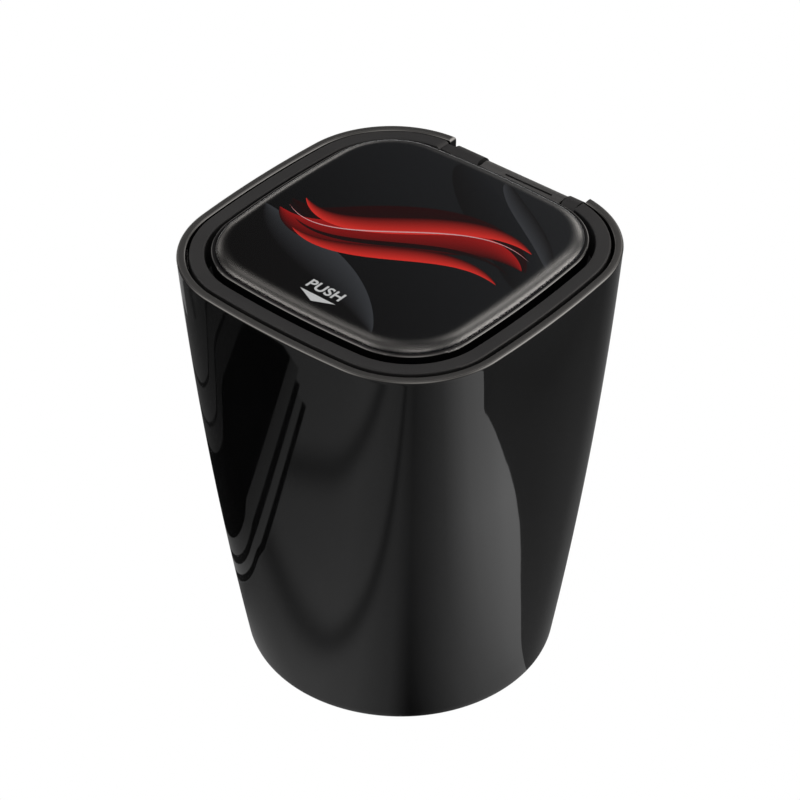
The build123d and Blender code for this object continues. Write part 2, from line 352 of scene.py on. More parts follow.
class EffectGroups:
    """Node groups that several finishes share."""

    def __init__(self) -> None:
        """Builds each group once."""
        self.skin = self.moulded_skin()
        self.lines = self.drawn_lines()
        self.grain = self.printer_grain()

    @staticmethod
    def moulded_skin() -> bpy.types.NodeTree:
        """Skin of a moulding: fine grain as a height, and soft patches that vary roughness and shade.

        Grain is noise at the grain's own scale; patches are noise a few centimetres wide, turned into a
        roughness between the two limits and a mask from nought to one.

        Returns:
            The group's tree.
        """
        graph, given, made = new_group(
            "moulded_skin",
            {"Grain Scale": FLOAT, "Patch Scale": FLOAT, "Smooth": FLOAT, "Rough": FLOAT},
            {"Roughness": FLOAT, "Patches": FLOAT, "Grain": FLOAT},
        )
        place = graph.place()
        grain = graph.add("TexNoise", {
            "Vector": place, "Scale": given["Grain Scale"], "Detail": 3.0, "Roughness": 0.55,
        })
        patch = graph.add("TexNoise", {
            "Vector": place, "Scale": given["Patch Scale"], "Detail": 4.0, "Roughness": 0.6,
        })
        level = graph.spread(patch["Fac"], 0.0, 1.0)
        rough = graph.add("MapRange", {0: level, 1: 0.0, 2: 1.0, 3: given["Smooth"], 4: given["Rough"]})
        graph.fill(made, {"Roughness": rough[0], "Patches": level, "Grain": grain["Fac"]})
        return graph.tree

    @staticmethod
    def drawn_lines() -> bpy.types.NodeTree:
        """Lines left on drawn or brushed metal, as a height and as a roughness.

        The place is multiplied by a stretch for each axis before it goes into noise, so that the noise is
        long in one direction and fine across it.

        Returns:
            The group's tree.
        """
        graph, given, made = new_group(
            "drawn_lines",
            {"Stretch": "NodeSocketVector", "Smooth": FLOAT, "Rough": FLOAT},
            {"Roughness": FLOAT, "Lines": FLOAT},
        )
        pull = graph.add("VectorMath", {0: graph.place(), 1: given["Stretch"]}, operation="MULTIPLY")
        noise = graph.add("TexNoise", {"Vector": pull[0], "Scale": 1.0, "Detail": 5.0, "Roughness": 0.6})
        rough = graph.spread(noise["Fac"], given["Smooth"], given["Rough"])
        graph.fill(made, {"Roughness": rough, "Lines": noise["Fac"]})
        return graph.tree

    @staticmethod
    def printer_grain() -> bpy.types.NodeTree:
        """Fine grain of a printed sheet, as a roughness between two limits."""
        graph, given, made = new_group(
            "printer_grain", {"Smooth": FLOAT, "Rough": FLOAT}, {"Roughness": FLOAT},
        )
        noise = graph.add("TexNoise", {"Vector": graph.place(), "Scale": 2500.0, "Detail": 1.0})
        graph.fill(made, {"Roughness": graph.spread(noise["Fac"], given["Smooth"], given["Rough"])})
        return graph.tree


def new_material(name: str) -> tuple[bpy.types.Material, Graph, bpy.types.Node]:
    """Starts a material.

    Args:
        name: Name of the material.

    Returns:
        The material, its graph and its Principled shader.
    """
    material = bpy.data.materials.new(name)
    material.use_nodes = True
    return material, Graph(material.node_tree), material.node_tree.nodes["Principled BSDF"]


@dataclass(frozen=True)
class Moulding:
    """Moulded plastic or rubber."""

    name: str
    dark: Colour
    light: Colour
    smooth: float
    rough: float
    grain_scale: float
    grain_height: float
    patch_scale: float = 55.0
    specular: float = 0.5
    land: float = 1.0
    land_ease: float = 0.05 * MM
    # Colour painted on the rim's top above the land: a painted sheen.
    land_painted_sheen: float = 0.01
    land_rough: float = 0.38

    def material(self, groups: EffectGroups) -> bpy.types.Material:
        """Makes the material: colour between dark and light by patches, grain as a bump.

        Above the land's height the moulding is satin, which is its own roughness, and its colour is painted
        greyer, a painted sheen on the rim's flat top.

        Args:
            groups: The shared node groups.

        Returns:
            The finished material.
        """
        material, graph, shader = new_material(self.name)
        skin = graph.add("Group", {
            "Grain Scale": self.grain_scale, "Patch Scale": self.patch_scale,
            "Smooth": self.smooth, "Rough": self.rough,
        }, node_tree=groups.skin)
        tone = graph.mix(skin["Patches"], (*self.dark, 1), (*self.light, 1))
        height = graph.add("SeparateXYZ", {0: graph.place()})["Z"]
        above = graph.add("MapRange", {
            0: height, 1: self.land, 2: self.land + self.land_ease, 3: 0.0, 4: 1.0,
        })[0]
        # Painted sheen: above the land the colour turns to the lighter painted tone of the rim's top.
        shade = graph.mix(above, tone, (self.land_painted_sheen, self.land_painted_sheen, self.land_painted_sheen, 1))
        matt = graph.add("Mix", {0: above, 2: skin["Roughness"], 3: self.land_rough}, data_type="FLOAT")
        bump = graph.add("Bump", {"Strength": 1.0, "Distance": self.grain_height, "Height": skin["Grain"]})
        graph.fill(shader, {
            "Base Color": shade, "Roughness": matt[0], "Normal": bump["Normal"],
            "Specular IOR Level": self.specular,
        })
        return material


@dataclass(frozen=True)
class Metal:
    """Bare drawn or plated steel."""

    name: str
    dark: Colour
    light: Colour
    smooth: float
    rough: float
    stretch: Stretch
    line_height: float

    def material(self, groups: EffectGroups) -> bpy.types.Material:
        """Makes the material: lines set the roughness, the shade and a shallow bump.

        Args:
            groups: The shared node groups.

        Returns:
            The finished material.
        """
        material, graph, shader = new_material(self.name)
        lines = graph.add("Group", {
            "Stretch": self.stretch.value, "Smooth": self.smooth, "Rough": self.rough,
        }, node_tree=groups.lines)
        tone = graph.mix(lines["Lines"], (*self.dark, 1), (*self.light, 1))
        bump = graph.add("Bump", {"Strength": 1.0, "Distance": self.line_height, "Height": lines["Lines"]})
        graph.fill(shader, {
            "Base Color": tone, "Roughness": lines["Roughness"], "Normal": bump["Normal"], "Metallic": 1.0,
        })
        return material


@dataclass(frozen=True)
class ClearCover:
    """Polished clear acrylic that lets light through to the print."""

    name: str = "clear_cover"
    ior: float = 1.49
    tint: Colour = (0.96, 0.965, 0.97)

    def material(self) -> bpy.types.Material:
        """Makes the material: refracting to the eye, see-through to light that falls on the print."""
        material, graph, shader = new_material(self.name)
        graph.fill(shader, {
            "Base Color": (*self.tint, 1), "Roughness": 0.0, "IOR": self.ior, "Transmission Weight": 1.0,
        })
        clear = graph.add("BsdfTransparent")
        ray = graph.add("LightPath")
        either = graph.add("Math", {0: ray["Is Shadow Ray"], 1: ray["Is Diffuse Ray"]}, operation="MAXIMUM")
        blend = graph.add("MixShader", {0: either[0], 1: shader.outputs[0], 2: clear[0]})
        graph.surface(blend[0])
        return material


@dataclass(frozen=True)
class PrintGround:
    """Dark ground of the printed sheet, lighter towards one corner."""

    name: str = "print_ground"
    dark: Colour = (0.001, 0.001, 0.0012)
    light: Colour = (0.008, 0.009, 0.0105)
    slant: Triple = (0.45, 0.9, 0.0)
    reach: float = 42.0 * MM
    smooth: float = 0.42
    rough: float = 0.5

    def material(self, groups: EffectGroups) -> bpy.types.Material:
        """Makes the material: a slanting ramp with a trace of printer's grain."""
        material, graph, shader = new_material(self.name)
        along = graph.add("VectorMath", {0: graph.place(), 1: self.slant}, operation="DOT_PRODUCT")
        ramp = graph.add(
            "MapRange", {0: along["Value"], 1: -self.reach, 2: self.reach}, interpolation_type="SMOOTHSTEP",
        )
        grain = graph.add("Group", {"Smooth": self.smooth, "Rough": self.rough}, node_tree=groups.grain)
        graph.fill(shader, {
            "Base Color": graph.mix(ramp[0], (*self.dark, 1), (*self.light, 1)),
            "Roughness": grain["Roughness"], "Specular IOR Level": 0.0,
        })
        return material


@dataclass(frozen=True)
class PrintInk:
    """Ink whose colour each point of the piece carries."""

    name: str = "print_ink"
    smooth: float = 0.38
    rough: float = 0.46

    def material(self, groups: EffectGroups) -> bpy.types.Material:
        """Makes the material: colour from the piece's own attribute, roughness from printer's grain."""
        material, graph, shader = new_material(self.name)
        tint = graph.add("Attribute", attribute_name=TINT)
        grain = graph.add("Group", {"Smooth": self.smooth, "Rough": self.rough}, node_tree=groups.grain)
        graph.fill(shader, {
            "Base Color": tint["Color"], "Roughness": grain["Roughness"], "Specular IOR Level": 0.0,
        })
        return material


def make_finishes() -> Finishes:
    """Builds every finish with the shared groups and gives them by name."""
    groups = EffectGroups()
    finishes = [
        # gloss_black carries the painted sheen on the rim's top above 102.1 mm.
        Moulding(
            "gloss_black", (0.0012, 0.0012, 0.0013), (0.002, 0.002, 0.0022), 0.02, 0.05, 900.0, 4e-7,
            land=102.1 * MM,
        ),
        Moulding("frame_black", (0.003, 0.003, 0.0033), (0.005, 0.005, 0.0055), 0.06, 0.1, 1500.0, 1e-6),
        Moulding(
            "satin_charcoal", (0.009, 0.009, 0.0095), (0.012, 0.012, 0.0125), 0.5, 0.6, 4200.0, 9e-6,
            specular=0.16,
        ),
        Moulding(
            "black_moulding", (0.012, 0.012, 0.0125), (0.018, 0.018, 0.0185), 0.42, 0.55, 3200.0, 1.4e-5,
        ),
        Moulding("pad_rubber", (0.014, 0.014, 0.014), (0.028, 0.027, 0.026), 0.75, 0.9, 2600.0, 3e-5),
        Metal("liner_steel", (0.5, 0.49, 0.48), (0.68, 0.67, 0.66), 0.24, 0.34, Stretch.ROUND_Z, 6e-7),
        Metal("bright_steel", (0.55, 0.55, 0.55), (0.7, 0.7, 0.7), 0.14, 0.24, Stretch.ALONG_X, 1e-6),
        Metal("screw_steel", (0.34, 0.34, 0.35), (0.48, 0.48, 0.48), 0.28, 0.4, Stretch.EVEN, 2e-6),
        PrintGround(),
        PrintInk(),
    ]
    cover = ClearCover()
    return {finish.name: finish.material(groups) for finish in finishes} | {cover.name: cover.material()}


# The ashtray's own pieces


@dataclass
class CupBody:
    """Gloss shell: round at the base, a rounded square at the rim, open at the back for the hinge."""

    finishes: Finishes
    half_base: float = 34.5 * MM
    half_mouth: float = 40.0 * MM
    mouth_corner: float = 23.3 * MM
    bow: float = 0.92 * MM
    foot: float = 0.5 * MM
    height: float = 101.7 * MM
    wall: float = 2.2 * MM
    rim_wall: float = 2.0 * MM
    rim_round: float = 0.6 * MM
    base_round: float = 1.0 * MM
    base_flat: float = 0.2 * MM
    floor_top: float = 3.5 * MM
    pad_radius: float = 29.15 * MM
    pad_ceiling: float = 1.5 * MM
    deck_bottom: float = 93.4 * MM
    seat_half: float = 35.8 * MM
    seat_thickness: float = 2.0 * MM
    gap_floor: float = 96.2 * MM
    gap_left: float = 17.25 * MM
    gap_right: float = 19.5 * MM
    gap_round: float = 1.2 * MM
    round_level: float = 101.2 * MM

    @property
    def rim(self) -> float:
        """Height of the rim."""
        return self.foot + self.height

    def wall_rows(self, level: np.ndarray, inset: float) -> np.ndarray:
        """Sections of the tapered wall.

        Half-width is a straight taper plus a bow of four times share times one less share; the corner
        radius runs straight from the round base to the mouth's corner. Both lose the inset.

        Args:
            level: Heights of the sections.
            inset: Distance inside the outer wall.

        Returns:
            Rows of (half-width, corner radius, height).
        """
        share = (level - self.foot) / self.height
        taper = (self.half_mouth - self.half_base) * share
        half = self.half_base + taper + self.bow * 4 * share * (1 - share)
        corner = self.half_base + (self.mouth_corner - self.half_base) * share
        return np.stack([half - inset, corner - inset, level], axis=1)

    def mouth_rows(self, path: np.ndarray) -> np.ndarray:
        """Rows of the mouth's outline, from pairs of half-width and height."""
        return np.stack([path[:, 0], self.mouth_corner - self.half_mouth + path[:, 0], path[:, 1]], axis=1)

    def outer_rows(self) -> np.ndarray:
        """Rows from the underside's middle, round the base edge and up to the hinge opening's floor."""
        rings = np.array([
            (0.0, self.pad_ceiling), (self.pad_radius, self.pad_ceiling), (self.pad_radius, self.foot),
            (self.half_base - self.base_round - self.base_flat, self.foot),
        ])
        under = np.stack([rings[:, 0], rings[:, 0], rings[:, 1]], axis=1)
        lean = np.linspace(0, math.pi / 2, 9)[:-1]
        side = self.wall_rows(np.array([self.foot + self.base_round]), 0.0)[0]
        inner = self.half_base - self.base_round
        half = inner + (side[0] - inner) * np.sin(lean)
        edge = np.stack([half, half, self.foot + self.base_round * (1 - np.cos(lean))], axis=1)
        wall = self.wall_rows(np.linspace(self.foot + self.base_round, self.gap_floor, 90), 0.0)
        return np.concatenate([under, edge, wall])

    def rim_rows(self) -> np.ndarray:
        """Rows over the rim, from the hinge opening's floor outside to the same height inside.

        Outside and inside have the same heights in reverse order, with a quarter round at either edge.

        Returns:
            Rows of (half-width, corner radius, height).
        """
        low = np.linspace(self.gap_floor, self.rim - self.rim_round, 14)
        lean = np.linspace(0, math.pi / 2, 9)[1:]
        level = self.rim - self.rim_round * (1 - np.sin(lean))
        tuck = self.rim_round * (1 - np.cos(lean))
        inner = self.half_mouth - self.rim_wall
        outside = self.mouth_rows(np.stack([self.half_mouth - tuck, level], axis=1))
        inside = self.mouth_rows(np.stack([inner + tuck, level], axis=1))
        well = self.mouth_rows(np.stack([np.full_like(low, inner), low], axis=1))
        return np.concatenate([self.wall_rows(low, 0.0), outside, inside[::-1], well[::-1]])

    def inner_rows(self) -> np.ndarray:
        """Rows from the hinge opening's floor down inside, over the collar's seat to the floor's middle."""
        inner = self.half_mouth - self.rim_wall
        seat_low = self.deck_bottom - self.seat_thickness
        seat = self.mouth_rows(np.array([
            (inner, self.gap_floor), (inner, self.deck_bottom), (self.seat_half, self.deck_bottom),
            (self.seat_half, seat_low),
        ]))
        wall = self.wall_rows(np.linspace(seat_low, self.floor_top, 30), self.wall)
        return np.concatenate([seat, wall, [[0.0, 0.0, self.floor_top]]])

    def ends(self, rows: np.ndarray) -> tuple[np.ndarray, np.ndarray]:
        """Angles from the middle of the back at which each row meets the hinge opening's ends.

        The left end plane leans away at the top by a quarter round: its offset is the round's radius less
        the root of that radius squared less the height above the round's centre squared.

        Args:
            rows: Rows of (half-width, corner radius, height).

        Returns:
            Angles to the left end and to the right end.
        """
        level = np.maximum(rows[:, 2], self.gap_floor)
        top = self.wall_rows(np.array([self.gap_floor]), 0.0)
        high = rows[:, 2] >= self.gap_floor - TINY
        half = np.where(high, rows[:, 0], top[0, 0])
        corner = np.where(high, rows[:, 1], top[0, 1])
        rise = np.clip(level - self.round_level, 0, self.gap_round)
        lean = self.gap_round - np.sqrt(self.gap_round ** 2 - rise ** 2)
        left = OUTLINE.cut_angle(half, corner, self.gap_left + lean)
        return left, OUTLINE.cut_angle(half, corner, self.gap_right)

    def place(self, rows: np.ndarray, columns: np.ndarray) -> np.ndarray:
        """Points of rows and columns.

        A column below nought or above one lies across the hinge opening, between its ends and the middle of
        the back; one from nought to one runs round the rest of the cup, evenly between the ends' angles.

        Args:
            rows: Rows of (half-width, corner radius, height).
            columns: Way along, from -1 at the middle of the back by 0 and 1 at the opening's ends to 2.

        Returns:
            Array of rows by columns by x, y, z.
        """
        half, corner, level = (column[:, None] for column in rows.T)
        left, right = (angle[:, None] for angle in self.ends(rows))
        way = columns[None]
        round_cup = left + (TURN - right - left) * way
        angle = np.where(way < 0, left * (1 + way), np.where(way > 1, TURN - right * (2 - way), round_cup))
        flat = OUTLINE.points(half, corner, angle + math.pi / 2)
        return lift(flat, level[..., None])

    def build(self) -> bpy.types.Object:
        """Makes the shell as one closed surface and dresses it.

        Returns:
            The piece that stands for the cup.
        """
        left, right = (float(end[0]) for end in self.ends(self.rim_rows()))
        knots = OUTLINE.columns(left, 26, 40)
        knots = knots[knots < TURN - right - 0.01]
        round_cup = np.append((knots - left) / (TURN - right - left), 1.0)
        across = np.linspace(0, 1, 22)
        whole = np.concatenate([across[:-1] - 1, round_cup, 1 + across[1:-1]])
        rest = (whole > -TINY) & (whole < 1 + TINY)
        shell = Shell("gloss_cup")
        outer = shell.put(self.place(self.outer_rows(), whole))
        shell.quads(outer, wrap=True)
        inner = shell.put(self.place(self.inner_rows(), whole))
        shell.quads(inner, wrap=True)
        rim = shell.put(self.place(self.rim_rows(), whole[rest]))
        shell.quads(rim)
        shut = np.concatenate([np.flatnonzero(whole > 1 - TINY), np.flatnonzero(whole < TINY)])
        shell.quads(np.stack([outer[-1][shut], inner[0][shut]]))
        middle = len(rim) // 2
        shell.quads(np.stack([rim[::-1][:middle, 0], rim[:middle, 0]]))
        shell.quads(np.stack([rim[:middle, -1], rim[::-1][:middle, -1]]))
        cup = shell.build(sharp=32.0)
        dress(cup, self.finishes["gloss_black"])
        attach(cup, "cup")
        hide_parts("cup_body")
        return cup


@dataclass
class BasePad:
    """Rubber disc under the cup, with ring grooves in its underside."""

    finishes: Finishes
    radius: float = 29.0 * MM
    thickness: float = 1.5 * MM
    groove_pitch: float = 3.6 * MM
    groove_depth: float = 0.35 * MM
    edge: float = 0.3 * MM
    steep: float = 1.6
    cut: float = 0.9
    flat: float = 0.6
    plain: float = 0.7

    def build(self) -> bpy.types.Object:
        """Makes the disc: its radius runs out along the grooved underside and back over the top.

        The underside stands at the groove depth times a steepened cosine less a cut, held between nought and
        a flat and divided by the flat; the middle is plain, out to a share of the pitch.

        Returns:
            The piece that stands for the pad.
        """
        radius = np.linspace(0, self.radius - self.edge, 150)
        wave = np.cos(TURN * (radius - self.groove_pitch) / self.groove_pitch)
        under = self.groove_depth * np.clip(wave * self.steep - self.cut, 0, self.flat) / self.flat
        under = np.where(radius < self.plain * self.groove_pitch, 0.0, under)
        edge = np.array([(self.radius, self.edge), (self.radius, self.thickness), (0.0, self.thickness)])
        path = np.concatenate([np.stack([radius, under], axis=1), edge])
        angle = np.linspace(0, TURN, 144, endpoint=False)
        flat = path[:, None, :1] * np.stack([np.cos(angle), np.sin(angle)], axis=1)[None]
        shell = Shell("ring_grooved_pad")
        shell.grid(lift(flat, path[:, None, 1:]), wrap=True)
        pad = shell.build(sharp=50.0)
        dress(pad, self.finishes["pad_rubber"])
        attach(pad, "cup")
        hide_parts("base_pad")
        return pad


@dataclass
class HingeSpring:
    """Torsion spring coiled about the hinge, with a leg to the lid and a leg to the cup."""

    finishes: Finishes
    axis_y: float = 36.0 * MM
    axis_z: float = 99.5 * MM
    first_x: float = 1.0 * MM
    last_x: float = 10.9 * MM
    coil_radius: float = 1.4 * MM
    wire: float = 0.6 * MM
    turns: float = 7.75
    lid_leg: float = 3.4 * MM
    cup_leg: float = 3.2 * MM

    def path(self) -> np.ndarray:
        """Middle line of the wire: a straight leg, a helix about the hinge, a straight leg.

        On the helix x grows with the turn, and the radius starts downwards and sweeps to the back.

        Returns:
            Points of the line.
        """
        turn = np.linspace(0, TURN * self.turns, 420)
        x = self.first_x + (self.last_x - self.first_x) * turn / turn[-1]
        coil = np.stack([
            x, self.axis_y + self.coil_radius * np.sin(turn), self.axis_z - self.coil_radius * np.cos(turn),
        ], axis=1)
        reach = np.linspace(1, 0, 9)[:-1, None]
        lead = coil[0] - unit(coil[1] - coil[0]) * self.lid_leg * reach
        tail = coil[-1] + unit(coil[-1] - coil[-2]) * self.cup_leg * (1 - reach[::-1] + reach[-1])
        return np.concatenate([lead, coil, tail])

    def build(self) -> bpy.types.Object:
        """Carries a circle along the middle line, square to it.

        Returns:
            The piece that stands for the spring.
        """
        path = self.path()
        ahead = unit(np.gradient(path, axis=0))
        side = unit(np.cross(ahead, np.array([1.0, 0.0, 0.0])))
        over = np.cross(side, ahead)
        angle = np.linspace(0, TURN, 14, endpoint=False)
        ring = np.cos(angle)[None, :, None] * side[:, None] + np.sin(angle)[None, :, None] * over[:, None]
        tube = path[:, None] + ring * self.wire / 2
        ends = np.broadcast_to(path[[0, -1]][:, None], (2,) + tube.shape[1:])
        shell = Shell("coiled_spring")
        shell.grid(np.concatenate([ends[:1], tube, ends[1:]]), wrap=True)
        spring = shell.build(sharp=50.0)
        dress(spring, self.finishes["bright_steel"])
        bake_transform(spring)
        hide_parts("hinge_spring")
        return spring


@dataclass
class LidCover:
    """Clear cover, rounded over to its edge and bonded to the print."""

    finishes: Finishes
    half: float = 31.95 * MM
    corner: float = 15.25 * MM
    foot: float = 102.62 * MM
    top: float = 104.6 * MM
    edge: float = 0.4 * MM
    reach: float = 3.2 * MM

    def build(self) -> bpy.types.Object:
        """Carries the rounded edge's profile round the lid's outline and closes it to the middle.

        Above an upright edge the profile is a quarter of an ellipse: it goes in by the reach times one less
        the cosine, and up by the height that is left times the sine.

        Returns:
            The piece that stands for the cover.
        """
        lean = np.linspace(0, math.pi / 2, 22)
        half = self.half - self.reach * (1 - np.cos(lean))
        level = self.foot + self.edge + (self.top - self.foot - self.edge) * np.sin(lean)
        path = np.concatenate([[(self.half, self.foot)], np.stack([half, level], axis=1)])
        angle = OUTLINE.columns(0.0, 30, 44)[:-1] + math.pi / 2
        flat = OUTLINE.points(path[:, :1], self.corner - self.half + path[:, :1], angle[None])
        skin = lift(flat, path[:, None, 1:])
        shell = Shell("rounded_cover")
        low, high = np.array([0.0, 0.0, self.foot]), np.array([0.0, 0.0, self.top])
        shrink = np.linspace(0, 1, 7)[:-1, None, None]
        under = low + (skin[0] - low) * shrink
        over = high + (skin[-1] - high) * shrink[::-1]
        shell.grid(np.concatenate([under, skin, over]), wrap=True)
        cover = shell.build(sharp=60.0)
        dress(cover, self.finishes["clear_cover"])
        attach(cover, "lid")
        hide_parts("lid_lens")
        return cover


@dataclass(frozen=True)
class Ribbon:
    """One printed band: a curve of four handles in millimetres, its width and its colours across."""

    handles: tuple[Pair, Pair, Pair, Pair]
    width: float
    one_side: Colour
    other_side: Colour
    taper: float = 0.8


@dataclass
class LidPrint:
    """Abstract design and push mark printed on the sheet under the cover."""

    finishes: Finishes
    level: float = 102.76 * MM
    layer: float = 0.002 * MM
    mark_rise: float = 0.02 * MM
    mark_tone: float = 0.42
    text_size: float = 3.7 * MM
    text_bold: float = 0.09 * MM
    text_space: float = 1.05
    text_y: float = -24.5 * MM
    mark_half: float = 4.7 * MM
    mark_back: float = -25.7 * MM
    mark_tip: float = -27.8 * MM

    def ribbons(self) -> list[Ribbon]:
        """Bands of the design, from the ground up."""
        soot, slate, ash = (0.003, 0.003, 0.0035), (0.006, 0.007, 0.0085), (0.028, 0.03, 0.034)
        wine, red, flame = (0.012, 0.001, 0.0015), (0.26, 0.006, 0.006), (0.52, 0.022, 0.016)
        pale = (0.4, 0.4, 0.42)
        return [
            Ribbon(((-8, 30), (6, 18), (20, 14), (30, 2)), 10.0, soot, slate, 0.35),
            Ribbon(((4, 30), (12, 23), (22, 20), (30, 11)), 4.0, ash, soot, 0.35),
            Ribbon(((-30, -8), (-18, -16), (-2, -14), (16, -28)), 9.0, soot, ash, 0.7),
            Ribbon(((-27, -3), (-10, -16), (4, 22), (27, 7)), 17.0, soot, wine),
            Ribbon(((-27, -7), (-10, -18), (6, 17), (26, 7)), 11.0, wine, red),
            Ribbon(((-25, -1), (-8, -12), (4, 21), (24, 13)), 6.0, flame, wine),
            Ribbon(((-20, -11), (-4, -16), (8, 7), (25, 0)), 4.5, flame, wine),
            Ribbon(((-22, -8), (-6, -14), (8, 11), (25, 4)), 1.6, soot, wine),
            Ribbon(((-26, -5), (-9, -15), (5, 19), (25, 10.5)), 0.5, pale, flame),
        ]

    def band(self, ribbon: Ribbon) -> tuple[np.ndarray, np.ndarray]:
        """Surface and colours of one band.

        The middle line is a cubic curve; each point moves sideways, square to the line, by up to half the
        width times the sine of the way along raised to the taper. Colour runs evenly from side to side.

        Args:
            ribbon: The band to draw.

        Returns:
            Points as rows by columns by x, y, z, and a colour for each.
        """
        t = np.linspace(0, 1, 120)[:, None]
        a, b, c, d = (np.array(handle) * MM for handle in ribbon.handles)
        middle = (1 - t) ** 3 * a + 3 * t * (1 - t) ** 2 * b + 3 * t ** 2 * (1 - t) * c + t ** 3 * d
        ahead = unit(np.gradient(middle, axis=0))
        square = np.stack([-ahead[:, 1], ahead[:, 0]], axis=1)
        across = np.linspace(-0.5, 0.5, 7)
        spread = ribbon.width * MM * np.sin(math.pi * t) ** ribbon.taper
        flat = middle[:, None] + square[:, None] * (spread * across[None])[..., None]
        share = (across + 0.5)[None, :, None]
        colour = np.array(ribbon.one_side) * (1 - share) + np.array(ribbon.other_side) * share
        colour = np.broadcast_to(colour, flat.shape[:2] + (3,))
        return flat, colour

    def design(self) -> bpy.types.Object:
        """Makes the bands as one piece, each a hair above the one before.

        Returns:
            The printed design.
        """
        shell = Shell("printed_bands")
        colours = []
        for number, ribbon in enumerate(self.ribbons()):
            flat, colour = self.band(ribbon)
            shell.grid(lift(flat, self.level + number * self.layer)[:, ::-1])
            colours.append(colour[:, ::-1].reshape(-1, 3))
        bands = shell.build(sharp=180.0, merge=False)
        self.tint(bands, np.concatenate(colours))
        self.fit(bands)
        return bands

    def tint(self, piece: bpy.types.Object, colours: np.ndarray) -> None:
        """Stores a colour at each point of a piece."""
        store = piece.data.color_attributes.new(TINT, "FLOAT_COLOR", "POINT")
        rgba = np.concatenate([colours, np.ones((len(colours), 1))], axis=1)
        store.data.foreach_set("color", rgba.astype(np.float32).ravel())

    def fit(self, piece: bpy.types.Object) -> None:
        """Dresses a printed piece and lets it ride on the lid."""
        dress(piece, self.finishes["print_ink"])
        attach(piece, "lid")

    def push_mark(self) -> bpy.types.Object:
        """Makes the word and the triangle that show where to push.

        Returns:
            The mark as one flat piece.
        """
        curve = bpy.data.curves.new("push_word", "FONT")
        curve.body = "PUSH"
        curve.size = self.text_size
        curve.offset = self.text_bold
        curve.align_x = "CENTER"
        curve.space_character = self.text_space
        holder = bpy.data.objects.new("push_word", curve)
        bpy.context.collection.objects.link(holder)
        bpy.context.view_layer.update()
        word = bpy.data.meshes.new_from_object(holder.evaluated_get(bpy.context.evaluated_depsgraph_get()))
        bpy.data.objects.remove(holder)
        level = self.level + self.mark_rise
        points = np.empty(len(word.vertices) * 3)
        word.vertices.foreach_get("co", points)
        points = points.reshape(-1, 3) + np.array([0.0, self.text_y, level])
        shell = Shell("push_mark")
        shell.put(points)
        shell.faces += [list(face.vertices) for face in word.polygons]
        tip = shell.put(np.array([
            (-self.mark_half, self.mark_back, level), (0.0, self.mark_tip, level),
            (self.mark_half, self.mark_back, level),
        ]))
        shell.faces.append(tip.tolist())
        mark = shell.build(sharp=180.0, merge=False)
        self.tint(mark, np.full((len(mark.data.vertices), 3), self.mark_tone))
        self.fit(mark)
        return mark


@dataclass
class LidScrews:
    """Four countersunk screws in the lid's underside, with cross recesses."""

    finishes: Finishes
    spread: float = 26.5 * MM / math.sqrt(2)
    face: float = 98.4 * MM
    head_radius: float = 1.9 * MM
    shank_radius: float = 1.0 * MM
    head_height: float = 1.3 * MM
    length: float = 4.0 * MM
    slot_half: float = 0.3 * MM
    slot_reach: float = 1.15 * MM
    slot_depth: float = 0.55 * MM
    side_ramp: float = 0.12 * MM
    end_ramp: float = 0.25 * MM
    rings: int = 26

    def screw(self) -> np.ndarray:
        """Surface of one screw that points up, as rings about its axis.

        The head's face is lifted by the recess depth where a point lies in the cross: within half a slot of
        either axis and within the slot's reach of the middle, eased over a short ramp.

        Returns:
            Points as rows by columns by x, y, z.
        """
        face = np.linspace(0, self.head_radius, self.rings)
        radius = np.concatenate([face, [self.shank_radius, self.shank_radius, 0.0]])
        level = np.concatenate([np.zeros(self.rings), [self.head_height, self.length, self.length]])
        angle = np.linspace(0, TURN, 72, endpoint=False)
        x = radius[:, None] * np.cos(angle)
        y = radius[:, None] * np.sin(angle)
        near = np.clip((self.slot_half - np.minimum(np.abs(x), np.abs(y))) / self.side_ramp, 0, 1)
        inside = np.clip((self.slot_reach - np.hypot(x, y)) / self.end_ramp, 0, 1)
        on_face = (np.arange(len(radius)) < self.rings)[:, None]
        z = level[:, None] + np.where(on_face, near * inside * self.slot_depth, 0.0)
        return np.stack([x, y, z], axis=2)

    def build(self) -> bpy.types.Object:
        """Sets the screws in their four places.

        Returns:
            The piece that stands for the screws.
        """
        form = self.screw()
        shell = Shell("cross_head_screws")
        for x in (-self.spread, self.spread):
            for y in (-self.spread, self.spread):
                shell.grid(form + np.array([x, y, self.face]), wrap=True)
        screws = shell.build(sharp=40.0)
        dress(screws, self.finishes["screw_steel"])
        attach(screws, "lid")
        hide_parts("lid_screws")
        return screws


def dress_kept(finishes: Finishes, nodes: dict[str, bpy.types.Object]) -> None:
    """Gives each piece whose CAD shape is right its finish.

    Args:
        finishes: The finishes by name.
        nodes: The loaded pieces by name.
    """
    kept = {
        "collar": "satin_charcoal", "ash_liner": "liner_steel", "hinge_pin": "bright_steel",
        "catch_box": "black_moulding", "catch_wire": "bright_steel", "catch_screws": "screw_steel",
        "lid_base": "black_moulding", "lid_bezel": "frame_black", "lid_print": "print_ground",
    }
    for name, finish in kept.items():
        dress(nodes[name], finishes[finish])
        log.info("kept %s in %s", name, finish)


# Studio


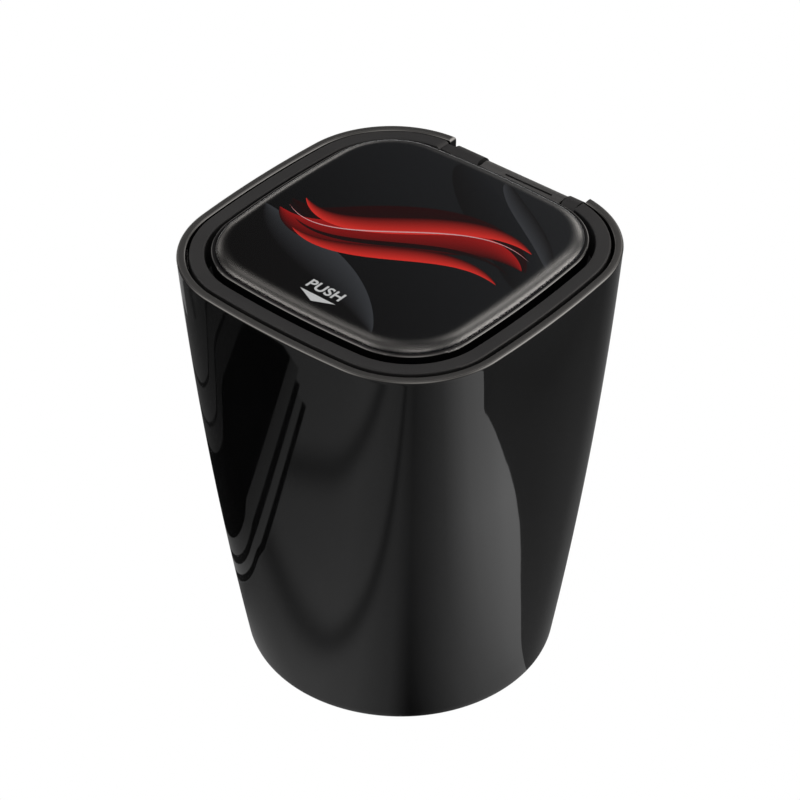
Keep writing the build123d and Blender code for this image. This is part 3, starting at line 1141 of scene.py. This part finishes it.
@dataclass
class Studio:
    """Pale floor, soft light and the camera at the photograph's angle."""

    azimuth: float = 40.03
    elevation: float = 38.06
    distance: float = 593.4 * MM
    aim_height: float = 63.2 * MM
    lens: float = 124.61
    shift: Pair = (-0.00072, -0.00635)
    sensor: float = 36.0
    clip: float = 0.01
    floor_half: float = 3.0
    floor_colour: Colour = (0.8, 0.8, 0.8)
    floor_rough: float = 0.9
    lamp_aim: Triple = (0.0, 0.0, 0.06)
    room_glow: float = 0.09
    dome_radius: float = 2.0
    dome_glow: float = 0.06
    windows: tuple[Window, ...] = (
        ((-0.51, 0.07, 0.86), 2.0, 10.0),
        ((-0.51, -0.72, 0.46), 5.5, 18.0),
        ((0.00, 0.60, 0.80), 3.4, 9.0),
        ((0.70, 0.58, 0.40), 8.0, 18.0),
        ((-0.76, 0.60, 0.24), 1.4, 6.0),
        ((-0.90, 0.20, 0.35), 1.3, 9.0),
        ((-0.20, 0.90, 0.35), 2.5, 9.0),
        ((0.58, -0.49, 0.64), 4.0, 18.0),
        ((0.10, -0.10, 1.00), 1.2, 16.0),
    )

    def camera(self) -> None:
        """Stands the camera off the aim point at the given angles and makes it the scene's own."""
        data = bpy.data.cameras.new("photo_camera")
        data.lens = self.lens
        data.sensor_width = self.sensor
        data.shift_x, data.shift_y = self.shift
        data.clip_start = self.clip
        turn, rise = math.radians(self.azimuth), math.radians(self.elevation)
        back = Vector((math.sin(turn) * math.cos(rise), -math.cos(turn) * math.cos(rise), math.sin(rise)))
        camera = bpy.data.objects.new("photo_camera", data)
        camera.location = Vector((0, 0, self.aim_height)) + back * self.distance
        camera.rotation_euler = back.to_track_quat("Z", "Y").to_euler()
        bpy.context.collection.objects.link(camera)
        bpy.context.scene.camera = camera

    def floor(self) -> None:
        """Lays the floor: plain white to the eye, pale and matt to the light."""
        shell = Shell("studio_floor")
        side = np.linspace(-self.floor_half, self.floor_half, 3)
        x, y = np.meshgrid(side, side)
        shell.grid(np.stack([x, y, np.zeros_like(x)], axis=2))
        floor = shell.build(sharp=180.0, merge=False)
        material, graph, shader = new_material("pale_floor")
        graph.fill(shader, {"Base Color": (*self.floor_colour, 1), "Roughness": self.floor_rough})
        white = graph.add("Emission", {"Color": (*WHITE, 1), "Strength": 1.0})
        eye = graph.add("LightPath")["Is Camera Ray"]
        graph.surface(graph.add("MixShader", {0: eye, 1: shader.outputs[0], 2: white[0]})[0])
        dress(floor, material)

    def front_light(self, x: np.ndarray, y: np.ndarray) -> np.ndarray:
        """Brightness of the card that the gloss wall mirrors, by place in millimetres.

        Close to the cup and far from it the brightness is a ramp over the bearing, and between them it is a
        blend: dim to the left, even in front, a dark spoke at the near corner and bright to the right. Two
        soft dark folds cross the front; the nearer one follows a hyperbola.

        Args:
            x: Places along X.
            y: Places along Y.

        Returns:
            Brightness at each place.
        """
        bearing = np.degrees(np.arctan2(y, x))
        turns = [-180, -140, -122, -100, -85, -70, -55, -48, -46, -43, -34, -24, -14, -4, 6, 30]
        near = [0.08, 0.1, 0.22, 0.36, 0.44, 0.46, 0.3, 0.08, 0.05, 0.08, 0.24, 0.42, 0.5, 0.5, 0.52, 0.5]
        far = [0.08, 0.1, 0.23, 0.34, 0.41, 0.39, 0.32, 0.22, 0.19, 0.22, 0.31, 0.44, 0.74, 1.0, 1.06, 1.0]
        share = np.clip((np.hypot(x, y) - 38) / 52, 0, 1) ** 0.7
        light = np.interp(bearing, turns, near) * (1 - share) + np.interp(bearing, turns, far) * share
        bend = 0.17 * x + 0.67 * (np.hypot(x, 14) - 14)
        nearer = np.exp(-((y + 51 + bend) / 5.5) ** 2)
        farther = np.exp(-((y + 117 + 0.46 * x) / 9) ** 2)
        return light * (1 - 0.5 * np.clip(nearer + farther, 0, 1) * (bearing < -50))

    def ring_card(self) -> None:
        """Lays the card that goes all round the cup, as rings."""
        radius = np.concatenate([np.linspace(30, 170, 120), np.linspace(180, 900, 12)])[:, None]
        angle = np.linspace(-math.pi, math.pi, 480, endpoint=False)[None]
        x, y = radius * np.cos(angle), radius * np.sin(angle)
        self.glow_card("ring_card", self.on_floor(x, y, 1e-4), self.front_light(x, y), wrap=True)

    def back_card(self) -> None:
        """Lays the dim card behind the cup.

        Its edge is a curve through given places, smoothed by a running mean whose weights are a raised
        cosine; its brightness is a ramp over the bearing.
        """
        along = np.linspace(-300, 300, 1201)
        edge_x = [20, 30, 41, 49, 56, 62, 70, 80, 90, 99, 108, 114, 120, 123, 125, 128, 136, 150]
        edge_y = [0, 0, 8, 16, 22.5, 28.5, 35.5, 42, 46.5, 48, 44, 39.5, 34, 30, 26, 28, 33, 40]
        weights = np.hanning(15)[1:-1]
        edge = np.pad(np.interp(along, edge_x, edge_y), len(weights) // 2, mode="edge")
        edge = np.convolve(edge, weights / weights.sum(), mode="valid")
        out = np.array([0, 0.6, 10, 40, 120, 500])[:, None]
        x, y = np.broadcast_arrays(along[None], edge[None] + out)
        turns = [20, 33, 41, 50, 60, 95, 130]
        shades = [0.16, 0.13, 0.105, 0.16, 0.12, 0.2, 0.3]
        shade = np.interp(np.degrees(np.arctan2(y, x)), turns, shades)
        self.glow_card("back_card", self.on_floor(x, y, 2e-4), shade)

    def slit_board(self) -> None:
        """Lays the dark board to the left, with lighter slits between given distances from its edge.

        The edge runs straight back beside the cup and slants away in front of it. The board's far end steps
        on at two of the slits.
        """
        across = np.array([
            0, 0.2, 2.5, 2.7, 6, 6.2, 9, 9.2, 15, 15.3, 46, 46.3, 56, 56.3, 58, 58.3, 72, 72.3, 74, 74.3, 100,
        ])[:, None]
        level = np.array([
            0.3, 0.02, 0.02, 0.22, 0.2, 0.02, 0.02, 0.15, 0.12, 0.008, 0.008, 0.05, 0.05, 0.02, 0.02, 0.08,
            0.07, 0.02, 0.02, 0.09, 0.08,
        ])[:, None]
        way = np.linspace(0, 1, 80)[None]
        length = 148 + 0.3 * across + 4 * (across > 6.1) + 5 * (across > 9.1)
        y = 30 - way * length
        x = -38 - across - 0.32 * np.maximum(0, -60 - y)
        self.glow_card("slit_board", self.on_floor(x, y, 3e-4), np.broadcast_to(level, x.shape))

    @staticmethod
    def on_floor(x: np.ndarray, y: np.ndarray, height: float) -> np.ndarray:
        """Points at a height in metres above places given in millimetres."""
        return np.stack([x * MM, y * MM, np.full(x.shape, height)], axis=2)

    def mirrored_sky(self, way: np.ndarray) -> np.ndarray:
        """Brightness of the dome that rounded edges mirror, by direction.

        It is a faint even glow plus soft windows: each is its strength times the exponential of minus half
        the square of the angle from the window's middle over the window's spread.

        Args:
            way: Unit directions from the cup.

        Returns:
            Brightness in each direction.
        """
        light = np.full(way.shape[:-1], self.dome_glow)
        for middle, strength, spread in self.windows:
            angle = np.arccos(np.clip(way @ unit(np.array(middle)), -1, 1))
            light = light + strength * np.exp(-0.5 * (angle / math.radians(spread)) ** 2)
        return light

    def dome(self) -> None:
        """Sets the dome of soft windows over the cup, for what mirrors it alone."""
        rise = np.radians(np.linspace(1, 90, 60))[:, None]
        turn = np.radians(np.linspace(0, 360, 180, endpoint=False))[None]
        across = np.cos(rise)
        sides = np.broadcast_arrays(across * np.cos(turn), across * np.sin(turn), np.sin(rise))
        way = np.stack(sides, axis=2)
        self.glow_card("window_dome", way * self.dome_radius, self.mirrored_sky(way), wrap=True, colour=WARM)

    def glow_card(
        self, name: str, points: np.ndarray, light: np.ndarray, wrap: bool = False, colour: Colour = WHITE,
    ) -> None:
        """Makes a glowing card that shows in reflections and nowhere else.

        Args:
            name: Name of the card.
            points: Rows by columns by x, y, z.
            light: Brightness at each point.
            wrap: Whether the last column joins the first.
            colour: Colour of the glow.
        """
        shell = Shell(name)
        shell.grid(points, wrap)
        card = shell.build(sharp=180.0, merge=False)
        store = card.data.attributes.new("light", "FLOAT", "POINT")
        store.data.foreach_set("value", light.astype(np.float32).ravel())
        material, graph, _ = new_material(name)
        level = graph.add("Attribute", attribute_name="light")
        graph.surface(graph.add("Emission", {"Color": (*colour, 1), "Strength": level["Fac"]})[0])
        dress(card, material)
        for rays in ("camera", "diffuse", "transmission", "shadow"):
            setattr(card, f"visible_{rays}", False)

    def world(self) -> None:
        """Lights everything evenly from all round."""
        world = bpy.data.worlds.new("soft_room")
        world.use_nodes = True
        tree = world.node_tree
        Graph(tree).fill(tree.nodes["Background"], {"Color": (*WHITE, 1), "Strength": self.room_glow})
        bpy.context.scene.world = world

    def lamp(self, name: str, place: Triple, size: float, power: float) -> None:
        """Hangs a square area light that faces the cup and that no gloss mirrors.

        Args:
            name: Name of the light.
            place: Where it hangs.
            size: Length of its side.
            power: Its power in watts.
        """
        data = bpy.data.lights.new(name, "AREA")
        data.size = size
        data.energy = power
        lamp = bpy.data.objects.new(name, data)
        lamp.visible_glossy = False
        lamp.location = place
        lamp.rotation_euler = (Vector(place) - Vector(self.lamp_aim)).to_track_quat("Z", "Y").to_euler()
        bpy.context.collection.objects.link(lamp)

    def build(self) -> None:
        """Sets up the whole studio."""
        bpy.context.scene.view_settings.view_transform = "Standard"
        self.floor()
        self.ring_card()
        self.back_card()
        self.slit_board()
        self.world()
        self.dome()
        self.lamp("overhead", (0.1, -0.15, 1.1), size=0.5, power=9.0)
        self.lamp("left_window", (-0.56, 0.0, 1.0), size=0.7, power=4.5)
        self.camera()


def main() -> None:
    """Builds the pieces in order, logs each one's face count and sets the studio."""
    logging.basicConfig(level=logging.INFO, format="%(name)s: %(message)s")
    for leftover in list(bpy.data.objects):
        bpy.data.objects.remove(leftover)
    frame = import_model()
    finishes = make_finishes()
    dress_kept(finishes, frame["nodes"])
    artwork = LidPrint(finishes)
    makers = [
        CupBody(finishes).build, BasePad(finishes).build, HingeSpring(finishes).build,
        LidCover(finishes).build, artwork.design, artwork.push_mark, LidScrews(finishes).build,
    ]
    for make in makers:
        piece = make()
        log.info("made %s with %d faces", piece.name, len(piece.data.polygons))
    Studio().build()


if __name__ == "__main__":
    main()
